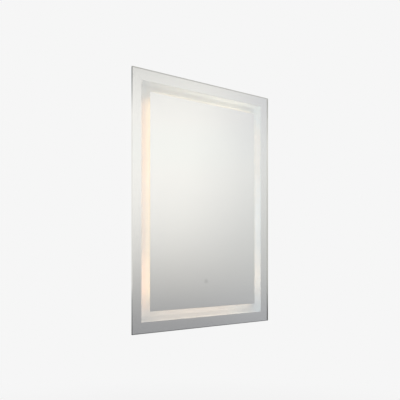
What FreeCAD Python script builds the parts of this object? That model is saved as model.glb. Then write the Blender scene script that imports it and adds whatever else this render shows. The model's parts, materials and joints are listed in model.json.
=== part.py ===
import FreeCAD, Part
import math
import os
import re

import Sketcher
from FreeCAD import Placement, Rotation, Vector

# A lighted mirror: a glass pane with a frosted band near its rim, a shallow case behind it that
# holds the lamps, and a bracket on the wall that the case hooks over.
#
# The origin is midway between the bracket's two screw holes, on the wall. +X is to the right of
# a person who faces the mirror, +Y goes into the wall and +Z is up. Sizes are in millimetres.
# An inset is a distance in from the glass's own rim, measured in the plane of the glass.

SIZES = {
    # the glass and what is printed on its back
    "glass_width": 500,
    "glass_height": 700,
    "glass_thick": 5,
    "glass_arris": 0.8,
    "glass_stand_off": 50,      # wall to the front of the glass
    "glass_rise": 140,          # top of the glass above the bracket's screws
    "film_thick": 0.3,
    "band_inset": 30,
    "band_width": 27,
    "touch_height": 132,        # touch mark above the bottom of the glass
    "touch_radius": 7,
    "mark_radius": 2,
    "mark_pitch": 21,
    # the case
    "case_inset": 28,
    "sheet_thick": 1.2,
    "glue_flange": 8,
    "screw_flange": 12,
    "tape_thick": 0.5,
    "back_thick": 1,
    "back_margin": 0.5,
    "wall_gap": 8,
    "key_length": 34,
    "key_width": 8,
    "key_thick": 1.5,
    "key_clear": 0.3,
    # screws that hold the back
    "back_screw_radius": 1.6,
    "back_screw_length": 7,
    "back_head_radius": 3.2,
    "back_head_height": 1.6,
    "back_screw_margin": 14,    # past the corner keys
    "thread_clear": 0.05,
    "hole_clear": 0.3,
    # the lamp rails, strips and covers
    "rail_inset": 60,
    "rail_flange": 12,
    "strip_depth": 4,           # back of the printed layers to the strip's edge
    "strip_width": 10,
    "strip_thick": 1,
    "strip_end": 76,
    "chip_size": 5,
    "chip_thick": 1.5,
    "cover_side": 1.5,          # how far a cover is wider than its strip, on each side
    "cover_rise": 6,
    "cover_wall": 1,
    "cover_end": 74,
    # the driver
    "driver_shift": -20,
    "driver_drop": 150,
    "driver_length": 150,
    "driver_height": 44,
    "driver_depth": 22,
    "driver_ear": 12,
    "ear_thick": 6,
    "driver_screw_radius": 1.9,
    "driver_screw_length": 6,
    "driver_head_radius": 3.6,
    "driver_head_height": 1.6,
    # vents through the back
    "vent_width": 3,
    "vent_height": 26,
    "vent_pitch": 10,
    "vent_drop": 64,
    # the demister and the touch switch
    "pad_width": 260,
    "pad_height": 280,
    "pad_thick": 0.5,
    "pad_drop": 200,
    "board_width": 46,
    "board_height": 22,
    "board_thick": 1.6,
    "sensor_wall": 1,
    "sensor_depth": 7,
    "sensor_clear": 0.5,
    # the terminal box, set into the back
    "box_shift": 110,
    "box_drop": 150,
    "box_width": 64,
    "box_height": 56,
    "box_depth": 25,
    "box_wall": 1.5,
    "box_rim": 4,
    "box_clear": 0.2,
    "snap_width": 12,
    "snap_reach": 1,
    "snap_thick": 2,
    "block_width": 28,
    "block_height": 14,
    "block_depth": 13,
    "block_rise": 13,
    "terminal_pitch": 12,
    "terminal_radius": 2,
    "terminal_length": 6,
    "post_radius": 3,
    "post_height": 8,
    "post_pitch": 24,
    "clamp_height": 8,
    "clamp_thick": 2.5,
    "clamp_screw_radius": 1.3,
    "clamp_screw_length": 8,
    "clamp_head_radius": 2.5,
    "clamp_head_height": 1.4,
    # the lid of the terminal box, its hinge and its grommet
    "lid_thick": 1.5,
    "lid_gap": 0.2,
    "lid_margin": 0.5,
    "hinge_radius": 1.5,
    "hinge_clear": 0.1,
    "hinge_gap": 0.3,
    "hinge_pin_radius": 0.8,
    "hinge_play": 0.07,
    "knuckle_length": 12,
    "knuckle_inner": 6,
    "entry_drop": 12,
    "grommet_bore": 4,
    "grommet_neck": 6,
    "grommet_rim": 8.5,
    "grommet_lip": 1.4,
    # leads inside the case
    "supply_lead_radius": 2.5,
    "lead_radius": 1.5,
    "lead_hole_clear": 0.4,
    "lead_bend": 24,            # radius of a bend, where the runs leave room for it
    "lead_from_pad": 14,        # the switch's lead runs beside the heating pad
    "clip_wall": 1.5,
    "clip_length": 8,
    # the bracket on the wall and the rail that hooks over it
    "bracket_length": 320,
    "bracket_half_height": 15,
    "bracket_thick": 1.5,
    "bracket_hook": 14,
    "bracket_offset": 3,
    "wall_hole_radius": 2.75,
    "wall_hole_pitch": 260,
    "hanger_length": 300,
    "hanger_thick": 1.5,
    "hanger_plate": 23,
    "hanger_lip": 12,
    "hook_clear": 0.4,
    "rivet_radius": 2,
    "rivet_head_radius": 4,
    "rivet_head_height": 1.2,
    "rivet_tail_radius": 3.2,
    "rivet_tail_height": 1.5,
    "rivet_rise": 12,
    "rivet_margin": 20,
    # small pieces on the back
    "bumper_radius": 11,
    "bumper_inset_side": 70,
    "bumper_inset_bottom": 60,
    "plate_width": 84,
    "plate_height": 46,
    "plate_thick": 0.4,
    "plate_drop": 290,
}

SCREW_COUNT_LONG = 4        # back screws on each upright side
SCREW_COUNT_SHORT = 3       # back screws on each level side
CHIP_COUNT_LONG = 22        # lamps on each upright strip
CHIP_COUNT_SHORT = 14       # lamps on each level strip
VENT_COUNT = 8              # slots in each row
RIVET_COUNT = 5
CLIP_COUNT = 3              # clips on the switch's lead

# Places along Y, from the front of the glass to the wall
FRONT = "(-glass_stand_off)"
GLASS_BACK = "(glass_thick - glass_stand_off)"
FILM_BACK = f"({GLASS_BACK} + film_thick)"
TAPE_BACK = f"({FILM_BACK} + tape_thick)"
PLATE_OUT = "(-wall_gap)"
PLATE_IN = f"({PLATE_OUT} - back_thick)"
FLANGE_IN = f"({PLATE_IN} - sheet_thick)"
WALL = "0"

# Places on the glass's rectangle
TOP = "(glass_rise)"
BOTTOM = "(glass_rise - glass_height)"

UPRIGHT = ("left", "right")
LEVEL = ("top", "bottom")
SIDES = UPRIGHT + LEVEL

TURN_TO = {
    "X": Rotation(Vector(0, 1, 0), 90),
    "Y": Rotation(Vector(1, 0, 0), -90),
    "Z": Rotation(),
}

doc = FreeCAD.newDocument("LightedMirror")
sheet = doc.addObject("Spreadsheet::Sheet", "Sizes")
for row, (size_name, size) in enumerate(SIZES.items(), start=1):
    sheet.set(f"A{row}", size_name)
    sheet.set(f"B{row}", str(size))
    sheet.setAlias(f"B{row}", size_name)
doc.recompute()

nodes = []


def tie(text):
    """The expression with each size's name pointed at its cell in the sheet."""
    return re.sub(r"[a-z]\w*", lambda word: f"Sizes.{word[0]}" if word[0] in SIZES else word[0], text)


def value(name):
    return float(sheet.get(name))


def node(piece, name):
    """Name a finished piece, so that it is written out."""
    piece.Label = name
    nodes.append(piece)
    return piece


def span(middle, length):
    """The two ends of a length that is centred on a place."""
    return (f"{middle} - {length} / 2", f"{middle} + {length} / 2")


def box(x, y, z):
    """A block between two places along each axis."""
    block = doc.addObject("Part::Box", "block")
    for axis, side, (low, high) in zip("xyz", ("Length", "Width", "Height"), (x, y, z)):
        block.setExpression(side, tie(f"({high}) - ({low})"))
        block.setExpression(f"Placement.Base.{axis}", tie(f"{low}"))
    return block


def rod(axis, radius, x, y, z):
    """A round bar. Its two ends are given on its own axis, and its middle on the others."""
    bar = doc.addObject("Part::Cylinder", "rod")
    bar.Placement = Placement(Vector(), TURN_TO[axis])
    bar.setExpression("Radius", tie(radius))
    for letter, place in zip("XYZ", (x, y, z)):
        start = place
        if letter == axis:
            start, end = place
            bar.setExpression("Height", tie(f"({end}) - ({start})"))
        bar.setExpression(f"Placement.Base.{letter.lower()}", tie(f"{start}"))
    return bar


def fuse(*pieces):
    joined = doc.addObject("Part::MultiFuse", "fuse")
    joined.Shapes = list(pieces)
    joined.Refine = True
    return joined


def group(pieces):
    """Separate solids that share one node."""
    bundle = doc.addObject("Part::Compound", "group")
    bundle.Links = list(pieces)
    return bundle


def cut(base, *tools):
    left = doc.addObject("Part::Cut", "cut")
    left.Base = base
    left.Tool = tools[0] if len(tools) == 1 else group(tools)
    return left


def plane(body, role):
    return next(feature for feature in body.Origin.OriginFeatures if feature.Role == role)


def tied_point(sketch, line, x, z):
    """Hold the start of a sketched line at a place given by two expressions."""
    for kind, place in (("DistanceX", x), ("DistanceY", z)):
        index = sketch.addConstraint(Sketcher.Constraint(kind, -1, 1, line, 1, 1))
        sketch.setExpression(f"Constraints[{index}]", tie(place))


def pad(body, corners, y):
    """A flat piece with four corners on the glass's plane, between two places along Y."""
    low, high = y
    sketch = body.newObject("Sketcher::SketchObject", "outline")
    sketch.AttachmentSupport = [(plane(body, "XZ_Plane"), "")]
    sketch.MapMode = "FlatFace"
    sketch.setExpression("AttachmentOffset.Base.z", tie(f"-({high})"))
    draft = [Vector(0, 0, 0), Vector(1, 0, 0), Vector(1, 1, 0), Vector(0, 1, 0)]
    for start, end in zip(draft, draft[1:] + draft[:1]):
        sketch.addGeometry(Part.LineSegment(start, end))
    for line in range(len(draft)):
        following = (line + 1) % len(draft)
        sketch.addConstraint(Sketcher.Constraint("Coincident", line, 2, following, 1))
    for line, (x, z) in enumerate(corners):
        tied_point(sketch, line, x, z)
    slab = body.newObject("PartDesign::Pad", "slab")
    slab.Profile = sketch
    slab.setExpression("Length", tie(f"({high}) - ({low})"))
    return slab


def corner(right, top, inset):
    """A corner of the rectangle that lies an inset inside the glass's rim."""
    x = f"{1 if right else -1} * (glass_width / 2 - ({inset}))"
    z = f"{TOP} - ({inset})" if top else f"{BOTTOM} + ({inset})"
    return x, z


def rectangle(inset):
    return [corner(False, False, inset), corner(True, False, inset),
            corner(True, True, inset), corner(False, True, inset)]


def mitre(side, outer, inner):
    """One side of a picture frame between two insets, cut at 45 degrees at both ends."""
    ends = {
        "left": ((False, False), (False, True)),
        "right": ((True, False), (True, True)),
        "top": ((False, True), (True, True)),
        "bottom": ((False, False), (True, False)),
    }[side]
    first, second = ends
    return [corner(*first, outer), corner(*second, outer), corner(*second, inner), corner(*first, inner)]


def run_ends(side, inset):
    """Where a side starts and ends along its own length, an inset in from the glass's rim."""
    if side in UPRIGHT:
        return (f"{BOTTOM} + ({inset})", f"{TOP} - ({inset})")
    return (f"({inset}) - glass_width / 2", f"glass_width / 2 - ({inset})")


def bar(side, outer, inner, run, y):
    """A straight block along one side, between two insets and between two places on its run."""
    if side == "left":
        return box((f"({outer}) - glass_width / 2", f"({inner}) - glass_width / 2"), y, run)
    if side == "right":
        return box((f"glass_width / 2 - ({inner})", f"glass_width / 2 - ({outer})"), y, run)
    if side == "top":
        return box(run, y, (f"{TOP} - ({inner})", f"{TOP} - ({outer})"))
    return box(run, y, (f"{BOTTOM} + ({outer})", f"{BOTTOM} + ({inner})"))


def slab(inset, y):
    """A whole rectangle at an inset."""
    return box(run_ends("top", inset), y, run_ends("left", inset))


def ring(outer, inner, y):
    return cut(slab(outer, y), slab(inner, y))


def spread(start, end, index, count):
    """The place of one of several pieces that are spaced evenly from start to end."""
    return f"(({start}) + (({end}) - ({start})) * {index} / {count - 1})"


def screw(radius, length, head_radius, head_height, x, y, z):
    """A screw whose head bears on the place y and whose shank goes into the case."""
    head = rod("Y", head_radius, x, (y, f"{y} + {head_height}"), z)
    shank = rod("Y", radius, x, (f"{y} - {length}", y), z)
    return fuse(head, shank)


# ---------------------------------------------------------------- glass and printed layers

def make_glass():
    body = doc.addObject("PartDesign::Body", "glass")
    pane = pad(body, rectangle("0"), (FRONT, GLASS_BACK))
    doc.recompute()
    arris = body.newObject("PartDesign::Chamfer", "arris")
    arris.Base = (pane, [f"Edge{number + 1}" for number in range(len(pane.Shape.Edges))])
    arris.setExpression("Size", tie("glass_arris"))
    body.Tip = arris
    node(body, "mirror_glass")


def make_layers():
    """Silver outside and inside the frosted band. The touch marks are clear of silver."""
    behind_glass = (GLASS_BACK, FILM_BACK)
    node(ring("glass_arris", "band_inset", behind_glass), "silver_border")
    node(ring("band_inset", "band_inset + band_width", behind_glass), "frosted_band")
    touch_z = f"{BOTTOM} + touch_height"
    marks = [rod("Y", "touch_radius", "0", behind_glass, touch_z),
             rod("Y", "mark_radius", "mark_pitch", behind_glass, touch_z)]
    node(cut(slab("band_inset + band_width", behind_glass), *marks), "silver_centre")


# ---------------------------------------------------------------- case

KEY_END = "(sheet_thick + key_clear + key_length)"


def back_screw_places():
    """Where the back's screws go: in the middle of the frame's screw flange, clear of the keys."""
    middle = "(case_inset + screw_flange / 2)"
    places = []
    for side in SIDES:
        count = SCREW_COUNT_LONG if side in UPRIGHT else SCREW_COUNT_SHORT
        start, end = run_ends(side, f"case_inset + {KEY_END} + back_screw_margin")
        for index in range(count):
            along = spread(start, end, index, count)
            sign = {"left": -1, "right": 1}.get(side)
            if sign:
                places.append((side, f"{sign} * (glass_width / 2 - {middle})", along))
            else:
                across = f"({TOP} - {middle})" if side == "top" else f"({BOTTOM} + {middle})"
                places.append((side, along, across))
    return places


def profile(side, outer, flange_out, flange_in, holes):
    """A channel along one side: a web, a flange at the glass and a flange at the back."""
    web_inner = f"{outer} + sheet_thick"
    body = doc.addObject("PartDesign::Body", f"profile_{side}")
    pad(body, mitre(side, outer, web_inner), (TAPE_BACK, PLATE_IN))
    pad(body, mitre(side, *flange_out), (TAPE_BACK, f"{TAPE_BACK} + sheet_thick"))
    pad(body, mitre(side, *flange_in), (FLANGE_IN, PLATE_IN))
    return cut(body, *holes) if holes else body


def make_frame(places):
    for side in SIDES:
        holes = [rod("Y", "back_screw_radius + thread_clear", x, (FLANGE_IN, PLATE_IN), z)
                 for where, x, z in places if where == side]
        piece = profile(side, "case_inset", ("case_inset - glue_flange", "case_inset + sheet_thick"),
                        ("case_inset", "case_inset + screw_flange"), holes)
        node(piece, f"frame_{side}")
    node(ring("case_inset - glue_flange", "case_inset + sheet_thick", (FILM_BACK, TAPE_BACK)), "frame_tape")


def corner_keys(inset, name):
    """Four angle plates that join the channels, on the inside of their back flanges."""
    y = (f"{FLANGE_IN} - key_thick", FLANGE_IN)
    near = f"{inset} + sheet_thick + key_clear"
    keys = []
    for right in (False, True):
        for top in (False, True):
            arms = []
            for reach_x, reach_z in (("key_length", "key_width"), ("key_width", "key_length")):
                x_near, z_near = corner(right, top, near)
                x_far = corner(right, top, f"{near} + {reach_x}")[0]
                z_far = corner(right, top, f"{near} + {reach_z}")[1]
                x = (x_far, x_near) if right else (x_near, x_far)
                z = (z_far, z_near) if top else (z_near, z_far)
                arms.append(box(x, y, z))
            keys.append(fuse(*arms))
    node(group(keys), name)


def make_back(places, rivets, driver_screws):
    through = (PLATE_IN, PLATE_OUT)
    holes = [rod("Y", "back_screw_radius + hole_clear", x, through, z) for _, x, z in places]
    holes += [rod("Y", "rivet_radius", x, through, z) for x, z in rivets]
    holes += [rod("Y", "driver_screw_radius + hole_clear", x, through, z) for x, z in driver_screws]
    holes.append(box(span("box_shift", "(box_width + 2 * box_clear)"), through,
                     span("(-box_drop)", "(box_height + 2 * box_clear)")))
    for row_sign in (1, -1):
        for index in range(VENT_COUNT):
            x = f"(driver_shift + ({index} - {(VENT_COUNT - 1) / 2}) * vent_pitch)"
            z = f"({row_sign} * vent_drop - driver_drop)"
            holes.append(box(span(x, "vent_width"), through, span(z, "vent_height")))
    node(cut(slab("case_inset + back_margin", through), *holes), "back_plate")
    screws = [screw("back_screw_radius", "back_screw_length", "back_head_radius", "back_head_height",
                    x, PLATE_OUT, z) for _, x, z in places]
    node(group(screws), "back_plate_screws")


# ---------------------------------------------------------------- lamps

LIGHTS = f"({FILM_BACK} + strip_depth + strip_width / 2)"


def make_rails(leads):
    """The channels that carry the lamps, with the holes that the leads pass through."""
    for side in SIDES:
        holes = leads.get(side, [])
        inner = "rail_inset + rail_flange"
        piece = profile(side, "rail_inset", ("rail_inset", inner), ("rail_inset", inner), holes)
        node(piece, f"led_rail_{side}")
    node(ring("rail_inset", "rail_inset + rail_flange", (FILM_BACK, TAPE_BACK)), "rail_tape")


def make_strips():
    face = "rail_inset"
    on_strip = f"({face} - strip_thick)"
    y_strip = span(LIGHTS, "strip_width")
    y_cover = span(LIGHTS, "(strip_width + 2 * cover_side)")
    y_hollow = span(LIGHTS, "(strip_width + 2 * cover_side - 2 * cover_wall)")
    chips = []
    for side in SIDES:
        run = run_ends(side, "strip_end")
        node(bar(side, on_strip, face, run, y_strip), f"led_strip_{side}")
        start, end = run_ends(side, "strip_end + chip_size")
        count = CHIP_COUNT_LONG if side in UPRIGHT else CHIP_COUNT_SHORT
        for index in range(count):
            along = spread(start, end, index, count)
            chips.append(bar(side, f"{on_strip} - chip_thick", on_strip, span(along, "chip_size"),
                             span(LIGHTS, "chip_size")))
        shell = bar(side, f"{face} - cover_rise", face, run_ends(side, "cover_end"), y_cover)
        hollow = bar(side, f"{face} - cover_rise + cover_wall", face,
                     run_ends(side, "cover_end + cover_wall"), y_hollow)
        node(cut(shell, hollow), f"led_cover_{side}")
    node(group(chips), "led_chips")


# ---------------------------------------------------------------- driver, demister and touch switch

DRIVER_FRONT = f"({PLATE_IN} - driver_depth)"
DRIVER_MIDDLE = f"({PLATE_IN} - driver_depth / 2)"
DRIVER_Z = "(-driver_drop)"
DRIVER_LEFT = "(driver_shift - driver_length / 2)"
DRIVER_RIGHT = "(driver_shift + driver_length / 2)"


def driver_screw_places():
    return [(f"({DRIVER_LEFT} - driver_ear / 2)", DRIVER_Z), (f"({DRIVER_RIGHT} + driver_ear / 2)", DRIVER_Z)]


def make_driver(places):
    ear_run = (f"{DRIVER_LEFT} - driver_ear", f"{DRIVER_RIGHT} + driver_ear")
    casing = box((DRIVER_LEFT, DRIVER_RIGHT), (DRIVER_FRONT, PLATE_IN), span(DRIVER_Z, "driver_height"))
    ears = box(ear_run, (f"{PLATE_IN} - ear_thick", PLATE_IN), span(DRIVER_Z, "driver_ear"))
    pilots = [rod("Y", "driver_screw_radius + thread_clear", x, (f"{PLATE_IN} - ear_thick", PLATE_IN), z)
              for x, z in places]
    node(cut(fuse(casing, ears), *pilots), "led_driver")
    screws = [screw("driver_screw_radius", "driver_screw_length", "driver_head_radius",
                    "driver_head_height", x, PLATE_OUT, z) for x, z in places]
    node(group(screws), "driver_screws")


def make_demister():
    pad_z = "(-pad_drop)"
    node(box(span("0", "pad_width"), (FILM_BACK, f"{FILM_BACK} + pad_thick"), span(pad_z, "pad_height")),
         "demister_pad")


TOUCH_Z = f"({BOTTOM} + touch_height)"
TOUCH_X = "(mark_pitch / 2)"


def make_touch_switch():
    """A sensing board against the back of the glass, under a cover."""
    board = (span(TOUCH_X, "board_width"), (FILM_BACK, f"{FILM_BACK} + board_thick"),
             span(TOUCH_Z, "board_height"))
    node(box(*board), "touch_sensor_board")
    inner_x = span(TOUCH_X, "(board_width + 2 * sensor_clear)")
    inner_z = span(TOUCH_Z, "(board_height + 2 * sensor_clear)")
    outer_x = span(TOUCH_X, "(board_width + 2 * sensor_clear + 2 * sensor_wall)")
    outer_z = span(TOUCH_Z, "(board_height + 2 * sensor_clear + 2 * sensor_wall)")
    shell = box(outer_x, (FILM_BACK, f"{FILM_BACK} + sensor_depth"), outer_z)
    hollow = box(inner_x, (FILM_BACK, f"{FILM_BACK} + sensor_depth - sensor_wall"), inner_z)
    node(cut(shell, hollow), "touch_sensor_case")


# ---------------------------------------------------------------- terminal box

BOX_X = "box_shift"
BOX_Z = "(-box_drop)"
BOX_FLOOR = f"({PLATE_OUT} - box_depth + box_wall)"
RIM_OUT = f"({PLATE_OUT} + box_wall)"
RIM_TOP = f"({BOX_Z} + box_height / 2 + box_rim)"
HINGE_Y = f"({PLATE_OUT} + hinge_radius + hinge_clear)"
HINGE_Z = f"({RIM_TOP} + hinge_radius + hinge_gap)"
BLOCK_Z = f"({BOX_Z} + block_rise)"
BLOCK_OUT = f"({BOX_FLOOR} + block_depth)"
ENTRY_Z = f"({BOX_Z} - entry_drop)"
POST_TOP = f"({BOX_FLOOR} + post_height)"
LID_IN = f"({RIM_OUT} + lid_gap)"
LID_OUT = f"({LID_IN} + lid_thick)"
SUPPLY_Y = f"({BLOCK_OUT} - terminal_length)"


def mirrored_run(sign, near, far):
    """A stretch along X on one side of the terminal box's middle."""
    return (f"{BOX_X} + {near}", f"{BOX_X} + {far}") if sign > 0 else (f"{BOX_X} - {far}", f"{BOX_X} - {near}")


KNUCKLE_MIDDLE = "(knuckle_inner + knuckle_length)"
KNUCKLE_OUTER = f"({KNUCKLE_MIDDLE} + hinge_gap + knuckle_length)"


def post_x(sign):
    return f"({BOX_X} + {sign} * post_pitch / 2)"


def make_terminal_box():
    tub_x = span(BOX_X, "box_width")
    tub_z = span(BOX_Z, "box_height")
    tub = box(tub_x, (f"{PLATE_OUT} - box_depth", PLATE_OUT), tub_z)
    rim = box(span(BOX_X, "(box_width + 2 * box_rim)"), (PLATE_OUT, RIM_OUT),
              span(BOX_Z, "(box_height + 2 * box_rim)"))
    parts = [tub, rim]
    for sign in (-1, 1):
        knuckle_run = mirrored_run(sign, f"({KNUCKLE_MIDDLE} + hinge_gap)", KNUCKLE_OUTER)
        parts.append(rod("X", "hinge_radius", knuckle_run, HINGE_Y, HINGE_Z))
        parts.append(box(knuckle_run, (PLATE_OUT, RIM_OUT), (f"{RIM_TOP} - box_wall", HINGE_Z)))
        snap_near = "(box_width / 2 - box_wall)"
        snap_far = "(box_width / 2 + snap_reach)"
        parts.append(box(mirrored_run(sign, snap_near, snap_far), (f"{PLATE_IN} - snap_thick", PLATE_IN),
                         span(BOX_Z, "snap_width")))
    cavity = box(span(BOX_X, "(box_width - 2 * box_wall)"), (BOX_FLOOR, RIM_OUT),
                 span(BOX_Z, "(box_height - 2 * box_wall)"))
    pin_bore = rod("X", "hinge_pin_radius", (f"{BOX_X} - {KNUCKLE_OUTER}", f"{BOX_X} + {KNUCKLE_OUTER}"),
                   HINGE_Y, HINGE_Z)
    lead_hole = rod("X", "supply_lead_radius + lead_hole_clear",
                    (f"{BOX_X} - box_width / 2", f"{BOX_X} - box_width / 2 + box_wall"), SUPPLY_Y, BLOCK_Z)
    shell = cut(fuse(*parts), cavity, pin_bore, lead_hole)
    posts = []
    for sign in (-1, 1):
        post = rod("Y", "post_radius", post_x(sign), (BOX_FLOOR, POST_TOP), ENTRY_Z)
        pilot = rod("Y", "clamp_screw_radius + thread_clear", post_x(sign), (BOX_FLOOR, POST_TOP), ENTRY_Z)
        posts.append(cut(post, pilot))
    node(fuse(shell, *posts), "terminal_box")
    pin_run = (f"{BOX_X} - {KNUCKLE_OUTER}", f"{BOX_X} + {KNUCKLE_OUTER}")
    node(rod("X", "hinge_pin_radius", pin_run, HINGE_Y, HINGE_Z), "lid_hinge_pin")


def make_terminals():
    places = []
    for column in (-1, 1):
        for row in (-1, 1):
            x = f"({BOX_X} + {column} * terminal_pitch / 2)"
            z = f"({BLOCK_Z} + {row} * block_height / 4)"
            places.append((x, z))
    deep = f"({BLOCK_OUT} - terminal_length)"
    body = box(span(BOX_X, "block_width"), (BOX_FLOOR, BLOCK_OUT), span(BLOCK_Z, "block_height"))
    holes = [rod("Y", "terminal_radius + thread_clear", x, (deep, BLOCK_OUT), z) for x, z in places]
    node(cut(body, *holes), "terminal_block")
    screws = [rod("Y", "terminal_radius", x, (deep, BLOCK_OUT), z) for x, z in places]
    node(group(screws), "terminal_screws")


def make_cord_clamp():
    strap_out = f"({POST_TOP} + clamp_thick)"
    strap = box(span(BOX_X, "(post_pitch + 2 * clamp_height / 2)"), (POST_TOP, strap_out),
                span(ENTRY_Z, "clamp_height"))
    holes = [rod("Y", "clamp_screw_radius + hole_clear", post_x(sign), (POST_TOP, strap_out), ENTRY_Z)
             for sign in (-1, 1)]
    node(cut(strap, *holes), "cord_clamp")
    screws = [screw("clamp_screw_radius", "clamp_screw_length", "clamp_head_radius", "clamp_head_height",
                    post_x(sign), strap_out, ENTRY_Z) for sign in (-1, 1)]
    node(group(screws), "clamp_screws")


def make_lid():
    x = span(BOX_X, "(box_width + 2 * box_rim - 2 * lid_margin)")
    foot = f"{BOX_Z} - box_height / 2 - box_rim + lid_margin"
    head = f"({HINGE_Z} - hinge_radius - hinge_gap)"
    parts = [box(x, (LID_IN, LID_OUT), (foot, head))]
    bores = []
    for sign in (-1, 1):
        run = mirrored_run(sign, "knuckle_inner", KNUCKLE_MIDDLE)
        parts.append(rod("X", "hinge_radius", run, HINGE_Y, HINGE_Z))
        parts.append(box(run, (LID_IN, LID_OUT), (f"{head} - lid_thick", HINGE_Z)))
        bores.append(rod("X", "hinge_pin_radius + hinge_play", run, HINGE_Y, HINGE_Z))
    entry = rod("Y", "grommet_neck", BOX_X, (LID_IN, LID_OUT), ENTRY_Z)
    node(cut(fuse(*parts), entry, *bores), "terminal_lid")
    neck = rod("Y", "grommet_neck", BOX_X, (LID_IN, LID_OUT), ENTRY_Z)
    outside = rod("Y", "grommet_rim", BOX_X, (LID_OUT, f"{LID_OUT} + grommet_lip"), ENTRY_Z)
    inside = rod("Y", "grommet_rim", BOX_X, (f"{LID_IN} - grommet_lip", LID_IN), ENTRY_Z)
    bore = rod("Y", "grommet_bore", BOX_X, (f"{LID_IN} - grommet_lip", f"{LID_OUT} + grommet_lip"), ENTRY_Z)
    node(cut(fuse(neck, outside, inside), bore), "lid_grommet")


# ---------------------------------------------------------------- wall bracket and hanger

HOOK_TOP = "(bracket_half_height + bracket_hook)"
HOOK_OUT = "(-bracket_offset)"
HOOK_IN = f"({HOOK_OUT} - bracket_thick)"
HANGER_LIP_IN = f"({HOOK_OUT} + hook_clear)"
HANGER_LIP_OUT = f"({HANGER_LIP_IN} + hanger_thick)"
HANGER_PLATE_OUT = f"({PLATE_OUT} + hanger_thick)"


def make_bracket():
    x = span("0", "bracket_length")
    foot = box(x, ("-bracket_thick", WALL), ("-bracket_half_height", "bracket_half_height"))
    step = box(x, (HOOK_IN, WALL), ("bracket_half_height", "bracket_half_height + bracket_thick"))
    hook = box(x, (HOOK_IN, HOOK_OUT), ("bracket_half_height", HOOK_TOP))
    holes = [rod("Y", "wall_hole_radius", f"{sign} * wall_hole_pitch / 2", ("-bracket_thick", WALL), "0")
             for sign in (-1, 1)]
    node(cut(fuse(foot, step, hook), *holes), "wall_bracket")


def rivet_places():
    start, end = "rivet_margin - hanger_length / 2", "hanger_length / 2 - rivet_margin"
    z = f"({HOOK_TOP} + rivet_rise)"
    return [(spread(start, end, index, RIVET_COUNT), z) for index in range(RIVET_COUNT)]


def make_hanger(places):
    x = span("0", "hanger_length")
    plate = box(x, (PLATE_OUT, HANGER_PLATE_OUT), (HOOK_TOP, f"{HOOK_TOP} + hanger_plate"))
    shelf = box(x, (PLATE_OUT, HANGER_LIP_OUT), (HOOK_TOP, f"{HOOK_TOP} + hanger_thick"))
    lip = box(x, (HANGER_LIP_IN, HANGER_LIP_OUT),
              (f"{HOOK_TOP} + hanger_thick - hanger_lip", f"{HOOK_TOP} + hanger_thick"))
    holes = [rod("Y", "rivet_radius", rx, (PLATE_OUT, HANGER_PLATE_OUT), rz) for rx, rz in places]
    node(cut(fuse(plate, shelf, lip), *holes), "hanger_rail")
    rivets = []
    for rx, rz in places:
        shank = rod("Y", "rivet_radius", rx, (PLATE_IN, HANGER_PLATE_OUT), rz)
        head = rod("Y", "rivet_head_radius", rx,
                   (HANGER_PLATE_OUT, f"{HANGER_PLATE_OUT} + rivet_head_height"), rz)
        tail = rod("Y", "rivet_tail_radius", rx, (f"{PLATE_IN} - rivet_tail_height", PLATE_IN), rz)
        rivets.append(fuse(shank, head, tail))
    node(group(rivets), "hanger_rivets")


def make_small_pieces():
    bumpers = []
    for right in (False, True):
        x = corner(right, False, "bumper_inset_side")[0]
        z = corner(right, False, "bumper_inset_bottom")[1]
        bumpers.append(rod("Y", "bumper_radius", x, (PLATE_OUT, WALL), z))
    node(group(bumpers), "wall_bumpers")
    node(box(span("0", "plate_width"), (PLATE_OUT, f"{PLATE_OUT} + plate_thick"),
             span("(-plate_drop)", "plate_height")), "bare_label")


# ---------------------------------------------------------------- leads

def route(*places):
    """The corners of a lead, as points tied to the sheet."""
    points = []
    for place in places:
        point = doc.addObject("Part::Vertex", "route_point")
        for letter, text in zip("XYZ", place):
            point.setExpression(letter, tie(text))
        points.append(point)
    return points


def tube(points, radius):
    """A round lead along straight runs joined by arcs."""
    corners = [Vector(float(point.X), float(point.Y), float(point.Z)) for point in points]
    edges = []
    here = corners[0]
    for before, middle, after in zip(corners, corners[1:], corners[2:]):
        into = (middle - before).normalize()
        away = (after - middle).normalize()
        half_turn = into.getAngle(away) / 2
        room = 0.45 * min(before.distanceToPoint(middle), middle.distanceToPoint(after))
        trim = min(room, value("lead_bend") * math.tan(half_turn))
        bend = trim / math.tan(half_turn)
        start = middle - into * trim
        end = middle + away * trim
        crown = middle + (away - into).normalize() * (bend / math.cos(half_turn) - bend)
        edges.append(Part.LineSegment(here, start).toShape())
        edges.append(Part.Arc(start, crown, end).toShape())
        here = end
    edges.append(Part.LineSegment(here, corners[-1]).toShape())
    path = Part.Wire(edges)
    section = Part.Wire([Part.Circle(corners[0], corners[1] - corners[0], radius).toShape()])
    solid = path.makePipeShell([section], True, False)
    expected = math.pi * radius ** 2 * path.Length
    if abs(solid.Volume / expected - 1) > 0.02:
        raise RuntimeError("a lead's volume doesn't match its length")
    return solid


def lead(points, radius, name):
    piece = doc.addObject("Part::Feature", name)
    piece.Shape = tube(points, radius)
    node(piece, name)


SENSOR_Y = f"({FILM_BACK} + sensor_depth / 2)"
SENSOR_RUN_X = "(-pad_width / 2 - lead_from_pad)"
SENSOR_LEFT = f"({TOUCH_X} - board_width / 2 - sensor_clear - sensor_wall)"
RAIL_X = "(rail_inset - glass_width / 2)"
LOW_LEAD_Z = f"({DRIVER_Z} - driver_height / 4)"
HIGH_LEAD_Z = f"({DRIVER_Z} + driver_height / 4)"
SENSOR_TOP_Z = f"({LOW_LEAD_Z} - driver_height)"
CLIP_START = f"({TOUCH_Z} + lead_bend + clip_length)"
CLIP_END = f"({SENSOR_TOP_Z} - lead_bend - clip_length)"


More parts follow.
